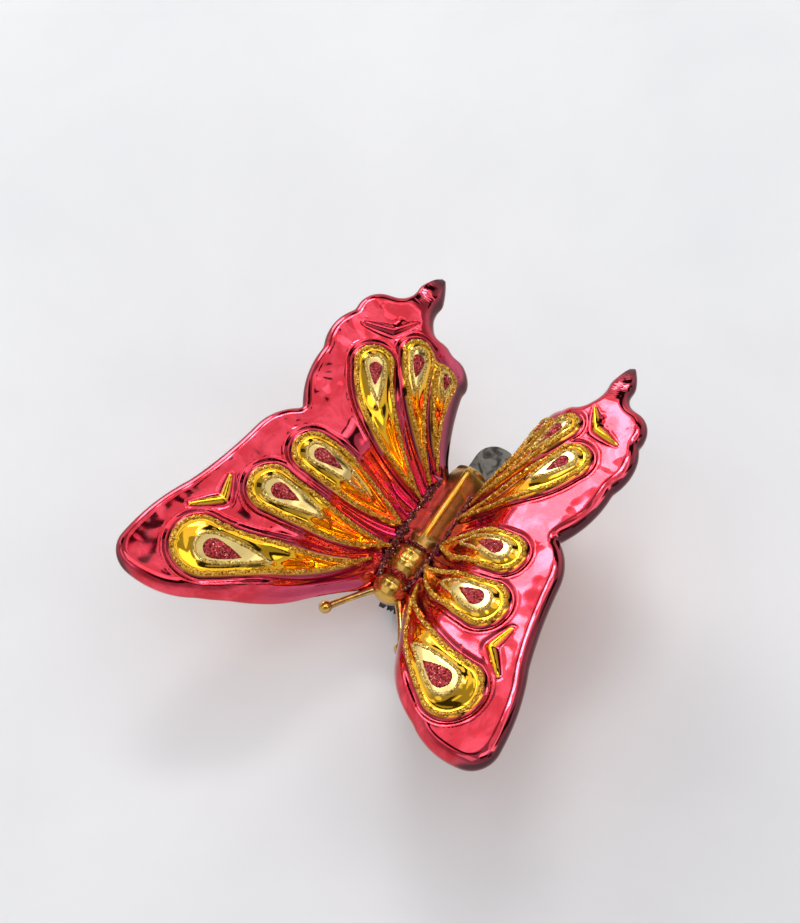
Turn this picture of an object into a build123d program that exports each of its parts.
from build123d import *
import math
import os

# Butterfly ornament of blown, silvered and lacquered glass on a spring clip.
# The head points to -Y, the wings spread along X and +Z is up.
# The origin is the middle of the flat underside of the clip, on which the ornament rests.

os.makedirs("parts", exist_ok=True)

# Driving sizes of the glass, in millimetres. It is blown in one mould, so each of its lengths
# counts squares of a grid that divides half the span; only its wall and its neck don't.
half_span = 60.0
grid_count = 60
grid = half_span / grid_count
forewing_length = 52.5 * grid
hindwing_length = 74.5 * grid
wall = 1.0
overrun = 120 * grid

# Section of a wing, seen from the head: a steep root, a bend and a flatter outer wing
root_drop = 9.5 * grid
bend_reach = 24 * grid
root_slope = 54.0
tip_slope = 17.0
wing_depth = 7.5 * grid
root_depth = 5 * grid
bend_radius = 16 * grid
rim_radius = 2.2 * grid
rim_steps = 4
cavity_margin = 2.7 * grid

# Relief and glitter on the wings
relief = 0.8 * grid
ring_relief = 0.5 * grid
border_width = 1.4 * grid
border_height = 0.5 * grid
ring_width = 0.9 * grid
ring_height = 0.4 * grid
eye_height = 0.45 * grid
embed = 0.8 * grid
bow_share = 0.05
chevron_width = 1.3 * grid
antenna_radius = 1.1 * grid
antenna_ball_radius = 1.7 * grid

# Body, head and neck of the glass
thorax_radius = 5 * grid
waist_radius = 3.7 * grid
head_radius = 4.1 * grid
collar_radius = 3 * grid
thorax_axis_drop = 4.9 * grid
head_centre_ahead = 9.4 * grid
collar_ahead = 5.3 * grid
waist_behind = 4.9 * grid
belly_radius = 5 * grid
belly_axis_drop = 7.2 * grid
belly_front = 1 * grid
belly_end = 36 * grid
abdomen_width = 5.5 * grid
keel_gap = 0.7 * grid
keel_height = 0.5 * grid
flank_drop = 1.3 * grid
glass_neck_radius = 3.6
glass_neck_length = 5.0
glass_neck_behind = 14 * grid

# Glitter on the body
seam_bead_radius = 1.3 * grid
seam_bead_lift = 0.5 * grid
seam_bend_radius = 20 * grid
collar_bead_radius = 1.1 * grid
waist_bead_radius = 0.9 * grid

# Clip of sheet steel, with its teeth at the front and its finger pads at the rear
clip_width = 13.0
clip_rear = 31.0
clip_bend = 24.0
clip_tip = 31.0
sheet = 0.7
jaw_gap = 8.6
tip_gap = 0.1
sheet_bend_radius = 4.0
pad_corner_radius = 0.46 * clip_width
tooth_pitch = 2.4
tooth_depth = 1.3
pivot_behind = 3.0
ear_radius = 3.3
ear_foot = 10.0
ear_gap = 0.1
pin_radius = 1.0
pin_running_gap = 0.05
pin_head_radius = 1.8
pin_head_height = 0.6

# Socket that holds the neck of the glass, its rivet and the cement round the neck
neck_ahead = 7.0
socket_radius = 4.9
socket_height = 4.6
socket_sheet = 0.6
brim_share = 0.9
rivet_radius = 1.2
rivet_head_radius = 2.1
rivet_head_height = 0.6
neck_gap = 0.1
cement_below_brim = 0.6

# Spring of round wire, wound round the hinge pin
wire_radius = 0.4
coil_radius = 1.9
coil_pitch = 1.35
full_turns = 3
leg_reach = 14.0
leg_gap = 0.1

# Heights that follow from the clip, and the place of the thorax over the neck
jaw_middle = sheet + jaw_gap / 2
upper_jaw_floor = sheet + jaw_gap
socket_floor = upper_jaw_floor + sheet
neck_end = socket_floor + socket_sheet + neck_gap
thorax_ahead = neck_ahead + glass_neck_behind
thorax_height = neck_end + glass_neck_length + belly_radius + belly_axis_drop

# Planes through the top of the thorax: level for the plan and upright across the body
plan = Plane(origin=(0, -thorax_ahead, thorax_height))
across = Plane(origin=(0, -thorax_ahead, thorax_height), x_dir=(1, 0, 0), z_dir=(0, -1, 0))


def on_wing(share_x, share_y):
    """A point of the right wing in plan, from shares of the span and of the two wing lengths."""
    length = forewing_length if share_y < 0 else hindwing_length
    return (share_x * half_span, share_y * length)


# Outline of the right wing: a first point, then the middle and end of each arc
outline_start_share = (0.017, -0.114)
outline_arc_shares = [
    ((0.158, -0.333), (0.267, -0.543)),
    ((0.4, -0.752), (0.583, -0.901)),
    ((0.725, -0.983), (0.883, -1.0)),
    ((0.97, -0.952), (1.0, -0.838)),
    ((0.977, -0.648), (0.908, -0.41)),
    ((0.853, -0.171), (0.82, 0.04)),
    ((0.777, 0.134), (0.7, 0.199)),
    ((0.77, 0.309), (0.793, 0.456)),
    ((0.823, 0.557), (0.78, 0.664)),
    ((0.77, 0.745), (0.677, 0.803)),
    ((0.613, 0.839), (0.603, 0.899)),
    ((0.587, 0.96), (0.533, 1.0)),
    ((0.487, 0.953), (0.467, 0.893)),
    ((0.467, 0.832), (0.437, 0.789)),
    ((0.397, 0.768), (0.353, 0.781)),
    ((0.317, 0.768), (0.283, 0.779)),
    ((0.24, 0.76), (0.223, 0.698)),
    ((0.183, 0.57), (0.125, 0.45)),
    ((0.075, 0.396), (0.017, 0.362)),
]

# Six drops on a wing, from the leading edge back: inner tip, a point of the rear side, a point of
# the front side, and the centre and radius of the round end
drop_shares = [
    ((0.137, -0.124), (0.34, -0.371), (0.347, -0.556), (0.667, -0.676), 0.142),
    ((0.1, 0.013), (0.267, -0.061), (0.275, -0.215), (0.57, -0.206), 0.113),
    ((0.1, 0.105), (0.283, 0.134), (0.275, 0.011), (0.52, 0.064), 0.098),
    ((0.108, 0.235), (0.3, 0.356), (0.4, 0.282), (0.538, 0.503), 0.093),
    ((0.117, 0.309), (0.26, 0.483), (0.338, 0.463), (0.405, 0.642), 0.072),
    ((0.12, 0.37), (0.2, 0.523), (0.253, 0.51), (0.284, 0.661), 0.049),
]
# In each drop a ring and in each ring an eye: inner tip, centre and radius of the round end
ring_shares = [
    ((0.39, -0.543), (0.63, -0.665), 0.077),
    ((0.323, -0.166), (0.552, -0.206), 0.067),
    ((0.26, 0.078), (0.5, 0.064), 0.057),
    ((0.42, 0.36), (0.53, 0.497), 0.053),
    ((0.337, 0.5), (0.403, 0.636), 0.04),
    ((0.257, 0.6), (0.284, 0.661), 0.0235),
]
eye_shares = [
    ((0.492, -0.619), (0.615, -0.661), 0.04),
    ((0.442, -0.187), (0.535, -0.202), 0.033),
    ((0.383, 0.071), (0.482, 0.066), 0.028),
    ((0.475, 0.42), (0.519, 0.483), 0.025),
    ((0.37, 0.555), (0.396, 0.619), 0.02),
    ((0.278, 0.65), (0.284, 0.662), 0.006),
]
# Two raised chevrons on a wing: end, corner and end
chevron_shares = [
    [(0.755, -0.272), (0.715, -0.404), (0.822, -0.53)],
    [(0.688, 0.626), (0.562, 0.663), (0.49, 0.752)],
]


def wing_outline(inset):
    """The outline of the right wing in plan, drawn in by inset."""
    with BuildSketch(plan) as outline:
        with BuildLine():
            here = on_wing(*outline_start_share)
            for middle_share, end_share in outline_arc_shares:
                there = on_wing(*end_share)
                ThreePointArc(here, on_wing(*middle_share), there)
                here = there
            Line(here, on_wing(*outline_start_share))
        make_face()
        if inset > 0:
            offset(amount=-inset, kind=Kind.ARC, mode=Mode.REPLACE)
    return outline.sketch


def even_sides(tip_share, centre_share, radius_share):
    """The rear and front side points of a drop with evenly bowed sides."""
    tip = Vector(*on_wing(*tip_share))
    centre = Vector(*on_wing(*centre_share))
    way = (centre - tip).normalized()
    left = Vector(-way.Y, way.X)
    half_width = radius_share * half_span / 2 + bow_share * (centre - tip).length
    middle = (tip + centre) / 2
    return tip, middle + left * half_width, middle - left * half_width, centre


def touch_point(side_point, centre, radius, turn):
    """Where the tangent from a side point meets the round end; turn is 1 for the rear side."""
    way = (centre - side_point).normalized()
    left = Vector(-way.Y, way.X) * turn
    lean = math.asin(radius / (centre - side_point).length)
    return centre + left * (radius * math.cos(lean)) - way * (radius * math.sin(lean))


def teardrop(tip, rear_side, front_side, centre, radius, border=0):
    """A drop in plan, or only its border where a border width is given."""
    rear_touch = touch_point(rear_side, centre, radius, 1)
    front_touch = touch_point(front_side, centre, radius, -1)
    middle_side = (rear_side + front_side) / 2
    end = centre + (centre - middle_side).normalized() * radius
    with BuildSketch(plan) as drop:
        with BuildLine():
            ThreePointArc(tip, rear_side, rear_touch)
            ThreePointArc(rear_touch, end, front_touch)
            ThreePointArc(front_touch, front_side, tip)
        make_face()
        if border > 0:
            offset(amount=-border, kind=Kind.INTERSECTION, mode=Mode.SUBTRACT)
    return drop.sketch


def chevron(points_share):
    """A bent bar in plan with pointed ends."""
    first, corner, last = [Vector(*on_wing(*point)) for point in points_share]
    middle = (first + last) / 2
    back = (corner - middle).normalized() * chevron_width
    with BuildSketch(plan) as bar:
        with BuildLine():
            Polyline(first, corner + back / 2, last, corner - back / 2, close=True)
        make_face()
    return bar.sketch


def shifted(line, lift):
    """A line of three points moved to its left by lift, with its corner mitred."""
    first, corner, last = line
    inner_way = (corner - first).normalized()
    outer_way = (last - corner).normalized()
    inner_left = Vector(-inner_way.Y, inner_way.X)
    outer_left = Vector(-outer_way.Y, outer_way.X)
    corner_shift = (inner_left + outer_left) * (lift / (1 + inner_left.dot(outer_left)))
    return [first + inner_left * lift, corner + corner_shift, last + outer_left * lift]


# The upper and the lower face of a wing as bent lines across the body
root_way = Vector(math.cos(math.radians(root_slope)), math.sin(math.radians(root_slope)))
tip_way = Vector(math.cos(math.radians(tip_slope)), math.sin(math.radians(tip_slope)))
root_point = Vector(0, -root_drop)
bend_point = root_point + root_way * (bend_reach / root_way.X)
tip_point = bend_point + tip_way * (half_span / tip_way.X)
dorsal = [root_point, bend_point, tip_point]
ventral = [shifted(dorsal, -root_depth)[0]] + shifted(dorsal, -wing_depth)[1:]
ventral_radius = bend_radius - wing_depth


def band(upper_line, upper_radius, lower_line, lower_radius):
    """The strip between two bent lines, pulled the length of the ornament."""
    with BuildPart() as strip:
        with BuildSketch(across):
            with BuildLine():
                FilletPolyline(*upper_line, radius=upper_radius)
                FilletPolyline(*lower_line, radius=lower_radius)
                Line(upper_line[0], lower_line[0])
                Line(upper_line[-1], lower_line[-1])
            make_face()
        extrude(amount=overrun, both=True)
    return strip.part


def wing_band(depth):
    """The thickness of the wing, drawn in by depth from both faces."""
    upper = shifted(dorsal, -depth)
    lower = shifted(ventral, depth)
    return band(upper, bend_radius - depth, lower, ventral_radius + depth)


def dorsal_band(low, high):
    """A layer that follows the upper face of the wing, from one height above it to another."""
    return band(shifted(dorsal, high), bend_radius + high, shifted(dorsal, low), bend_radius + low)


def ventral_band(low, high):
    """A layer that follows the lower face of the wing, from one depth below it to another."""
    upper = shifted(ventral, -low)
    lower = shifted(ventral, -high)
    return band(upper, ventral_radius - low, lower, ventral_radius - high)


def cut_from(layer, outlines):
    """The pieces of a layer that lie over or under the outlines."""
    with BuildPart() as cut:
        for outline in outlines:
            extrude(outline, amount=overrun, both=True)
        add(layer, mode=Mode.INTERSECT)
    return cut.part


drops = [
    (*[Vector(*on_wing(*share)) for share in shares[:-1]], shares[-1] * half_span)
    for shares in drop_shares
]
rings = [(*even_sides(*shares), shares[-1] * half_span) for shares in ring_shares]
eyes = [(*even_sides(*shares), shares[-1] * half_span) for shares in eye_shares]
drop_outlines = [teardrop(*drop) for drop in drops]
ring_outlines = [teardrop(*ring) for ring in rings]
eye_outlines = [teardrop(*eye) for eye in eyes]
drop_borders = [teardrop(*drop, border=border_width) for drop in drops]
ring_borders = [teardrop(*ring, border=ring_width) for ring in rings]
chevron_outlines = [chevron(points) for points in chevron_shares]

# The glass: two pillow-shaped wings with a rounded rim, made in steps
with BuildPart() as right_wing:
    for step in range(rim_steps):
        turn = math.radians(90 * step / (rim_steps - 1))
        inset = rim_radius * (1 - math.cos(turn))
        depth = rim_radius * (1 - math.sin(turn))
        add(cut_from(wing_band(depth), [wing_outline(inset)]))
    add(cut_from(dorsal_band(-embed, relief), drop_outlines))
    add(cut_from(dorsal_band(-embed, relief + ring_relief), ring_outlines))
    add(cut_from(dorsal_band(-embed, relief), chevron_outlines))
    add(cut_from(ventral_band(-embed, relief), drop_outlines))

with BuildPart() as right_cavity:
    add(cut_from(wing_band(wall), [wing_outline(cavity_margin)]))


# The bulbs are turned so that no joint with a wing or an antenna lies across a sphere's seam
seam_turn = (0, 0, -50)


def spine(inset):
    """Head, collar, thorax and waist in one line, drawn in by inset."""
    height = thorax_height - thorax_axis_drop
    with BuildPart() as bulbs:
        with Locations(Location((0, -thorax_ahead - head_centre_ahead, height), seam_turn)):
            Sphere(head_radius - inset)
        with Locations(Location((0, -thorax_ahead, height), seam_turn)):
            Sphere(thorax_radius - inset)
        with BuildSketch(across):
            with Locations((0, -thorax_axis_drop)):
                Circle(collar_radius - inset)
        extrude(amount=head_centre_ahead)
        with BuildSketch(across):
            with Locations((0, -thorax_axis_drop)):
                Circle(waist_radius - inset)
        extrude(amount=-waist_behind - thorax_radius)
    return bulbs.part


def belly(inset):
    """The round belly under the abdomen, drawn in by inset."""
    front = belly_front + belly_radius - thorax_ahead
    rear = belly_end - belly_radius - thorax_ahead
    height = thorax_height - belly_axis_drop
    with BuildPart() as round_bar:
        with Locations(Location((0, front, height), seam_turn)):
            Sphere(belly_radius - inset)
        with Locations(Location((0, rear, height), seam_turn)):
            Sphere(belly_radius - inset)
        with BuildSketch(Plane.XZ.offset(-front)):
            with Locations((0, height)):
                Circle(belly_radius - inset)
        extrude(amount=front - rear)
    return round_bar.part


# Sections of the abdomen: the place behind the thorax as a share of the belly's end, the keel's
# depth as a share of the depth of the belly's axis, and the share of the abdomen's half width
abdomen_section_shares = [
    (0.15, 0.24, 0.55),
    (0.28, 0.22, 0.95),
    (0.6, 0.3, 1.0),
    (0.88, 0.5, 0.9),
    (1.0, 0.62, 0.45),
]
side_share = 0.9
underside_share = 0.5

with BuildPart() as abdomen:
    for place_share, keel_share, width_share in abdomen_section_shares:
        keel = -keel_share * belly_axis_drop
        width = width_share * abdomen_width
        foot = keel_gap * 2 * width_share
        ridge = keel_gap * width_share
        half = [
            (ridge, keel),
            (foot, keel - keel_height * 2),
            (width, keel - flank_drop),
            (side_share * width, -belly_axis_drop),
            (underside_share * width, -belly_axis_drop - underside_share * belly_radius),
        ]
        other_half = [(-x, z) for x, z in reversed(half)]
        with BuildSketch(across.offset(-place_share * belly_end)):
            with BuildLine():
                Polyline((0, keel - keel_height), *half, *other_half, close=True)
            make_face()
    loft(ruled=True)

antenna_start_share = (0.062, -0.218)
antenna_ball_share = (0.215, -0.455)

with BuildPart() as antenna:
    start_x, start_y = on_wing(*antenna_start_share)
    ball_x, ball_y = on_wing(*antenna_ball_share)
    start = Vector(start_x, start_y - thorax_ahead, thorax_height - thorax_axis_drop)
    ball = Vector(ball_x, ball_y - thorax_ahead, thorax_height - thorax_axis_drop + antenna_radius)
    elbow = (start + ball) / 2 + Vector(-antenna_radius, -antenna_radius, 0)
    with BuildLine():
        stem = ThreePointArc(start, elbow, ball)
    with BuildSketch(Plane(origin=stem @ 0, z_dir=stem % 0)):
        Circle(antenna_radius)
    sweep()
    with Locations(stem @ 1):
        Sphere(antenna_ball_radius)

neck_place = (0, -neck_ahead)

with BuildPart() as outer_form:
    add(right_wing.part)
    add(antenna.part)
    mirror(about=Plane.YZ)
    add(spine(0))
    add(belly(0))
    add(abdomen.part)
    with BuildSketch(Plane.XY.offset(neck_end)):
        with Locations(neck_place):
            Circle(glass_neck_radius)
    extrude(amount=glass_neck_length + belly_radius - wall)

with BuildPart() as glass_shell:
    add(outer_form.part)
    add(right_cavity.part, mode=Mode.SUBTRACT)
    mirror(right_cavity.part, about=Plane.YZ, mode=Mode.SUBTRACT)
    add(spine(wall), mode=Mode.SUBTRACT)
    add(belly(wall), mode=Mode.SUBTRACT)
    with BuildSketch(Plane.XY.offset(neck_end)):
        with Locations(neck_place):
            Circle(glass_neck_radius - wall)
    extrude(amount=glass_neck_length + belly_radius - wall, mode=Mode.SUBTRACT)
glass_shell.part.label = "glass_shell"
export_step(glass_shell.part, "parts/glass_shell.step")

# Glitter laid on the raised lines, first on the right wing and then mirrored
with BuildPart() as right_drop_borders:
    add(cut_from(dorsal_band(relief, relief + border_height), drop_borders))
right_drop_borders.part.label = "right_drop_borders"
export_step(right_drop_borders.part, "parts/right_drop_borders.step")

with BuildPart() as left_drop_borders:
    mirror(right_drop_borders.part, about=Plane.YZ)
left_drop_borders.part.label = "left_drop_borders"
export_step(left_drop_borders.part, "parts/left_drop_borders.step")

ring_seat = relief + ring_relief
with BuildPart() as right_eye_rings:
    add(cut_from(dorsal_band(ring_seat, ring_seat + ring_height), ring_borders))
right_eye_rings.part.label = "right_eye_rings"
export_step(right_eye_rings.part, "parts/right_eye_rings.step")

with BuildPart() as left_eye_rings:
    mirror(right_eye_rings.part, about=Plane.YZ)
left_eye_rings.part.label = "left_eye_rings"
export_step(left_eye_rings.part, "parts/left_eye_rings.step")

with BuildPart() as right_eye_glitter:
    add(cut_from(dorsal_band(ring_seat, ring_seat + eye_height), eye_outlines))
right_eye_glitter.part.label = "right_eye_glitter"
export_step(right_eye_glitter.part, "parts/right_eye_glitter.step")

with BuildPart() as left_eye_glitter:
    mirror(right_eye_glitter.part, about=Plane.YZ)
left_eye_glitter.part.label = "left_eye_glitter"
export_step(left_eye_glitter.part, "parts/left_eye_glitter.step")

with BuildPart() as right_under_borders:
    add(cut_from(ventral_band(relief, relief + border_height), drop_borders))
right_under_borders.part.label = "right_under_borders"
export_step(right_under_borders.part, "parts/right_under_borders.step")

with BuildPart() as left_under_borders:
    mirror(right_under_borders.part, about=Plane.YZ)
left_under_borders.part.label = "left_under_borders"
export_step(left_under_borders.part, "parts/left_under_borders.step")

# Beads of glitter: along each wing root, over the waist and over the collar
root_bead_shares = [(0.066, -0.19), (0.08, -0.076), (0.088, 0.04), (0.087, 0.16), (0.083, 0.335)]


def on_root(share_x, share_y):
    """A point of a wing-root bead, just above the upper face of the steep wing root."""
    x, y = on_wing(share_x, share_y)
    rise = x * math.tan(math.radians(root_slope)) - root_drop + seam_bead_lift
    return Vector(x, y - thorax_ahead, thorax_height + rise)


with BuildPart() as right_root_glitter:
    with BuildLine():
        root_points = [on_root(*share) for share in root_bead_shares]
        root_path = FilletPolyline(*root_points, radius=seam_bend_radius)
    with BuildSketch(Plane(origin=root_path @ 0, z_dir=root_path % 0)):
        Circle(seam_bead_radius)
    sweep()
    with Locations(root_path @ 0, root_path @ 1):
        Sphere(seam_bead_radius)
    add(outer_form.part, mode=Mode.SUBTRACT)
right_root_glitter.part.label = "right_root_glitter"
export_step(right_root_glitter.part, "parts/right_root_glitter.step")

with BuildPart() as left_root_glitter:
    mirror(right_root_glitter.part, about=Plane.YZ)
left_root_glitter.part.label = "left_root_glitter"
export_step(left_root_glitter.part, "parts/left_root_glitter.step")


def hoop(behind, radius, bead_radius):
    """A bead that crosses the back from wing to wing, seated on the glass."""
    height = thorax_height - thorax_axis_drop
    place = behind - thorax_ahead
    with BuildPart() as bead:
        with BuildLine():
            arch = ThreePointArc(
                (-radius, place, height), (0, place, height + radius), (radius, place, height)
            )
        with BuildSketch(Plane(origin=arch @ 0, z_dir=arch % 0)):
            Circle(bead_radius)
        sweep()
        add(outer_form.part, mode=Mode.SUBTRACT)
        add(right_root_glitter.part, mode=Mode.SUBTRACT)
        add(left_root_glitter.part, mode=Mode.SUBTRACT)
    return bead.part


with BuildPart() as waist_glitter:
    add(hoop(waist_behind, waist_radius, waist_bead_radius))
waist_glitter.part.label = "waist_glitter"
export_step(waist_glitter.part, "parts/waist_glitter.step")

with BuildPart() as collar_glitter:
    add(hoop(-collar_ahead, collar_radius, collar_bead_radius))
collar_glitter.part.label = "collar_glitter"
export_step(collar_glitter.part, "parts/collar_glitter.step")

# Clip: two toothed jaws of bent sheet that turn on one pin
tooth_count = int(clip_width / tooth_pitch)
pivot = (pivot_behind, jaw_middle)


def jaw(ear_outside, ear_hole_radius, teeth):
    """The lower jaw, resting on its flat sheet, with a pair of ears up to the pin."""
    with BuildPart() as bent_sheet:
        with BuildSketch(Plane.YZ):
            with BuildLine():
                FilletPolyline(
                    (clip_rear, 0),
                    (-clip_bend, 0),
                    (-clip_tip, jaw_middle - tip_gap / 2),
                    radius=sheet_bend_radius,
                )
                offset(amount=sheet, side=Side.RIGHT)
            make_face()
        extrude(amount=clip_width / 2, both=True)
        rear_corners = bent_sheet.edges().filter_by(Axis.Z).group_by(Axis.Y)[-1]
        fillet(rear_corners, radius=pad_corner_radius)
        with BuildSketch(Plane.XZ.offset(clip_bend)):
            with Locations((0, jaw_middle - tip_gap / 2)):
                Rectangle(clip_width, clip_width, align=(Align.CENTER, Align.MIN))
                with GridLocations(tooth_pitch, 0, teeth, 1):
                    Polygon(
                        (-tooth_pitch / 2, 0), (tooth_pitch / 2, 0), (0, -tooth_depth), align=None
                    )
        extrude(amount=overrun, mode=Mode.SUBTRACT)
        with BuildSketch(Plane.YZ.offset(ear_outside - sheet)):
            with Locations(pivot):
                Circle(ear_radius)
            with Locations((pivot_behind, sheet / 2)):
                Rectangle(ear_foot, sheet)
            make_hull()
            with Locations(pivot):
                Circle(ear_hole_radius, mode=Mode.SUBTRACT)
        extrude(amount=sheet)
        mirror(about=Plane.YZ)
    return bent_sheet.part


ear_width = clip_width / 2
with BuildPart() as lower_jaw:
    add(jaw(ear_width - sheet - ear_gap, pin_radius + pin_running_gap, tooth_count))
lower_jaw.part.label = "lower_jaw"
export_step(lower_jaw.part, "parts/lower_jaw.step")

with BuildPart() as upper_jaw:
    mirror(jaw(ear_width, pin_radius, tooth_count - 1), about=Plane.XY.offset(jaw_middle))
    with BuildSketch(Plane.XY.offset(upper_jaw_floor)):
        with Locations(neck_place):
            Circle(rivet_radius)
    extrude(amount=sheet, mode=Mode.SUBTRACT)
upper_jaw.part.label = "upper_jaw"
export_step(upper_jaw.part, "parts/upper_jaw.step")

with BuildPart() as hinge_pin:
    with BuildSketch(Plane.YZ.offset(-ear_width)):
        with Locations(pivot):
            Circle(pin_radius)
    extrude(amount=clip_width)
    for outer_side in (-1, 1):
        with BuildSketch(Plane.YZ.offset(outer_side * ear_width)):
            with Locations(pivot):
                Circle(pin_head_radius)
        extrude(amount=outer_side * pin_head_height)
    head_rims = hinge_pin.edges().filter_by(GeomType.CIRCLE).group_by(Axis.X)
    chamfer(head_rims[0] + head_rims[-1], length=pin_head_height / 2)
hinge_pin.part.label = "hinge_pin"
export_step(hinge_pin.part, "parts/hinge_pin.step")

# Socket: a pressed cup on the upper jaw with a rolled brim, held by one rivet
brim_radius = brim_share * socket_sheet
with BuildPart() as clip_socket:
    with BuildSketch(Plane.XY.offset(socket_floor)):
        with Locations(neck_place):
            Circle(socket_radius)
    extrude(amount=socket_height)
    with BuildSketch(Plane.XY.offset(socket_floor + socket_sheet)):
        with Locations(neck_place):
            Circle(socket_radius - socket_sheet)
    extrude(amount=socket_height, mode=Mode.SUBTRACT)
    floor_rim = clip_socket.edges().filter_by(GeomType.CIRCLE).group_by(Axis.Z)[0]
    fillet(floor_rim, radius=socket_sheet)
    with Locations(Location((neck_place[0], neck_place[1], socket_floor + socket_height))):
        Torus(major_radius=socket_radius - socket_sheet / 2, minor_radius=brim_radius)
    with BuildSketch(Plane.XY.offset(socket_floor)):
        with Locations(neck_place):
            Circle(rivet_radius)
    extrude(amount=socket_sheet, mode=Mode.SUBTRACT)
clip_socket.part.label = "clip_socket"
export_step(clip_socket.part, "parts/clip_socket.step")

with BuildPart() as socket_cement:
    with BuildSketch(Plane.XY.offset(socket_floor + socket_sheet)):
        with Locations(neck_place):
            Circle(socket_radius - socket_sheet)
            Circle(glass_neck_radius, mode=Mode.SUBTRACT)
    extrude(amount=socket_height - socket_sheet - cement_below_brim)
socket_cement.part.label = "socket_cement"
export_step(socket_cement.part, "parts/socket_cement.step")

with BuildPart() as socket_rivet:
    with BuildSketch(Plane.XY.offset(upper_jaw_floor - rivet_head_height)):
        with Locations(neck_place):
            Circle(rivet_head_radius)
    extrude(amount=rivet_head_height)
    with BuildSketch(Plane.XY.offset(upper_jaw_floor)):
        with Locations(neck_place):
            Circle(rivet_radius)
    extrude(amount=sheet + socket_sheet)
    with BuildSketch(Plane.XY.offset(socket_floor + socket_sheet)):
        with Locations(neck_place):
            Circle(rivet_head_radius)
    extrude(amount=rivet_head_height)
    head_faces = socket_rivet.faces().filter_by(Axis.Z).sort_by(Axis.Z)
    fillet(head_faces[0].edges() + head_faces[-1].edges(), radius=rivet_head_height / 2)
socket_rivet.part.label = "socket_rivet"
export_step(socket_rivet.part, "parts/socket_rivet.step")

# Spring: one wire that comes in along the lower jaw, winds round the pin and leaves along the
# upper jaw. The legs are tangents of the coil that end leg_gap from the sheets of the jaws.
leg_height = jaw_gap / 2 - wire_radius - leg_gap
leg_distance = math.hypot(leg_reach, leg_height)
leg_lean = math.acos(coil_radius / leg_distance) - math.atan2(leg_reach, leg_height)
winding = 2 * math.pi * full_turns + math.pi - 2 * leg_lean
quarters = round(winding / (math.pi / 2))
coil_climb = coil_pitch / (2 * math.pi)


def on_coil(turned):
    """A point of the wire's centre line, after an angle wound from the lower leg."""
    angle = -math.pi / 2 - leg_lean - turned
    along_pin = coil_climb * (turned - winding / 2)
    y = pivot_behind + coil_radius * math.cos(angle)
    return Vector(along_pin, y, jaw_middle + coil_radius * math.sin(angle))


def coil_way(turned):
    """The direction of the wire at that angle."""
    angle = -math.pi / 2 - leg_lean - turned
    way = Vector(coil_climb, coil_radius * math.sin(angle), -coil_radius * math.cos(angle))
    return way.normalized()


leg_length = math.sqrt(leg_distance**2 - coil_radius**2)
with BuildPart() as jaw_spring:
    with BuildLine() as wire:
        Line(on_coil(0) - coil_way(0) * leg_length, on_coil(0))
        for quarter in range(quarters):
            here = on_coil(winding * quarter / quarters)
            there = on_coil(winding * (quarter + 1) / quarters)
            way_in = coil_way(winding * quarter / quarters)
            way_out = coil_way(winding * (quarter + 1) / quarters)
            chord = there - here
            along_ways = chord.dot(way_in + way_out)
            spread = 2 * (1 - way_in.dot(way_out))
            reach = math.sqrt(along_ways**2 + spread * chord.dot(chord)) - along_ways
            reach = reach / spread
            near = here + way_in * reach
            far = there - way_out * reach
            TangentArc(here, (near + far) / 2, tangent=way_in)
            TangentArc((near + far) / 2, there, tangent=far - near)
        Line(on_coil(winding), on_coil(winding) + coil_way(winding) * leg_length)
    with BuildSketch(Plane(origin=wire.wires()[0] @ 0, z_dir=wire.wires()[0] % 0)):
        Circle(wire_radius)
    sweep()
jaw_spring.part.label = "jaw_spring"
export_step(jaw_spring.part, "parts/jaw_spring.step")

# The least gap of the wire to itself, measured between points at least half a turn apart
samples = 60 * full_turns
turns = [winding * sample / samples for sample in range(samples + 1)]
coil_points = [on_coil(turned) for turned in turns]
least_gap = min(
    (coil_points[first] - coil_points[second]).length - 2 * wire_radius
    for first in range(samples + 1)
    for second in range(first + 1, samples + 1)
    if turns[second] - turns[first] > math.pi
)
print("least gap of the spring wire to itself in mm:", round(least_gap, 3))
